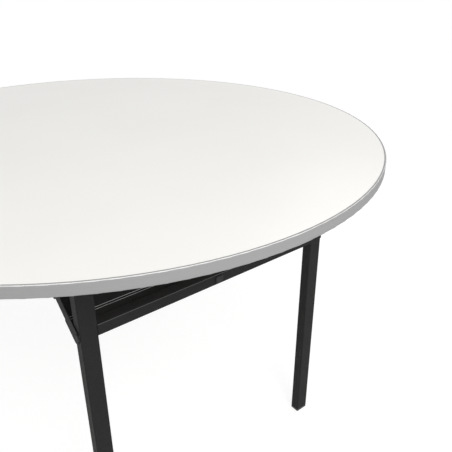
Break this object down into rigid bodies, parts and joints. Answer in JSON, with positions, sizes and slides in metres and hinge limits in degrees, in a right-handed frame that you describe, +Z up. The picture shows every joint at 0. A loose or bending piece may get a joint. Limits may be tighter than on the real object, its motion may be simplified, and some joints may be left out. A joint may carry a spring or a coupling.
{
  "type": "round folding banquet table",
  "caption": "Round banquet table with a white laminated top, grey edge band and black steel leg frames that fold flat under the top on knee braces.",
  "frame": {"origin": "on the floor, under the centre of the round top", "axes": "+Z up; +X from the centre towards the leg frame of end a; +Y along that frame's rail"},
  "size_m": [1.5, 1.4999, 0.74],
  "materials": {
    "white_laminate": "satin melamine sheet",
    "board": "raw particle board",
    "backing_sheet": "plain melamine backing",
    "grey_band": "satin extruded edge band",
    "powder_black": "fine powder coat, satin",
    "zinc_steel": "zinc plated",
    "dark_rivet": "black oxide",
    "nylon": "moulded nylon",
    "foot_plastic": "moulded polyethylene",
    "black_rubber": "matt rubber"
  },
  "bodies": {
    "top": {"top_laminate": "white_laminate", "board_core": "board", "backing_laminate": "backing_sheet", "edge_band": "grey_band", "pivot_bracket_left_a": "powder_black", "pivot_bracket_right_a": "powder_black", "stay_bracket_left_a": "powder_black", "stay_bracket_right_a": "powder_black", "pivot_axle_a": "zinc_steel", "axle_caps_a": "zinc_steel", "stay_pins_a": "zinc_steel", "stop_pins_a": "zinc_steel", "bracket_screws_a": "zinc_steel", "rest_pads_a": "black_rubber", "pivot_bracket_left_b": "powder_black", "pivot_bracket_right_b": "powder_black", "stay_bracket_left_b": "powder_black", "stay_bracket_right_b": "powder_black", "pivot_axle_b": "zinc_steel", "axle_caps_b": "zinc_steel", "stay_pins_b": "zinc_steel", "stop_pins_b": "zinc_steel", "bracket_screws_b": "zinc_steel", "rest_pads_b": "black_rubber"},
    "leg_frame_a": {"leg_left_a": "powder_black", "leg_right_a": "powder_black", "rail_a": "powder_black", "foot_left_a": "foot_plastic", "foot_right_a": "foot_plastic", "head_plug_left_a": "foot_plastic", "head_plug_right_a": "foot_plastic", "pivot_bushes_a": "nylon", "brace_pins_a": "dark_rivet", "stack_bumper_a": "black_rubber"},
    "brace_a": {"brace_panel_a": "powder_black", "knee_rivets_a": "dark_rivet"},
    "stay_a": {"stay_link_left_a": "powder_black", "stay_link_right_a": "powder_black", "knee_studs_a": "dark_rivet"},
    "leg_frame_b": {"leg_left_b": "powder_black", "leg_right_b": "powder_black", "rail_b": "powder_black", "foot_left_b": "foot_plastic", "foot_right_b": "foot_plastic", "head_plug_left_b": "foot_plastic", "head_plug_right_b": "foot_plastic", "pivot_bushes_b": "nylon", "brace_pins_b": "dark_rivet", "stack_bumper_b": "black_rubber"},
    "brace_b": {"brace_panel_b": "powder_black", "knee_rivets_b": "dark_rivet"},
    "stay_b": {"stay_link_left_b": "powder_black", "stay_link_right_b": "powder_black", "knee_studs_b": "dark_rivet"}
  },
  "joints": [
    {"name": "leg_fold_a", "type": "hinge", "parent": "top", "child": "leg_frame_a", "pos_m": [0.5355, -0.02, 0.689], "axis": [0, 1, 0], "range_deg": [0, 90]},
    {"name": "brace_fold_a", "type": "hinge", "parent": "leg_frame_a", "child": "brace_a", "pos_m": [0.5385, -0.02, 0.555], "axis": [0, 1, 0], "range_deg": [0, 51.86]},
    {"name": "stay_fold_a", "type": "hinge", "parent": "top", "child": "stay_a", "pos_m": [0.38238, -0.02, 0.686], "axis": [0, 1, 0], "range_deg": [-41.54, 0]},
    {"name": "leg_fold_b", "type": "hinge", "parent": "top", "child": "leg_frame_b", "pos_m": [-0.5355, 0.02, 0.689], "axis": [0, -1, 0], "range_deg": [0, 90]},
    {"name": "brace_fold_b", "type": "hinge", "parent": "leg_frame_b", "child": "brace_b", "pos_m": [-0.5385, 0.02, 0.555], "axis": [0, -1, 0], "range_deg": [0, 51.86]},
    {"name": "stay_fold_b", "type": "hinge", "parent": "top", "child": "stay_b", "pos_m": [-0.38238, 0.02, 0.686], "axis": [0, -1, 0], "range_deg": [-41.54, 0]}
  ],
  "couplings": [
    {"joint": "brace_fold_a", "follows": "leg_fold_a", "ratio": 0.57623},
    {"joint": "stay_fold_a", "follows": "leg_fold_a", "ratio": -0.46157},
    {"joint": "brace_fold_b", "follows": "leg_fold_b", "ratio": 0.57623},
    {"joint": "stay_fold_b", "follows": "leg_fold_b", "ratio": -0.46157}
  ]
}
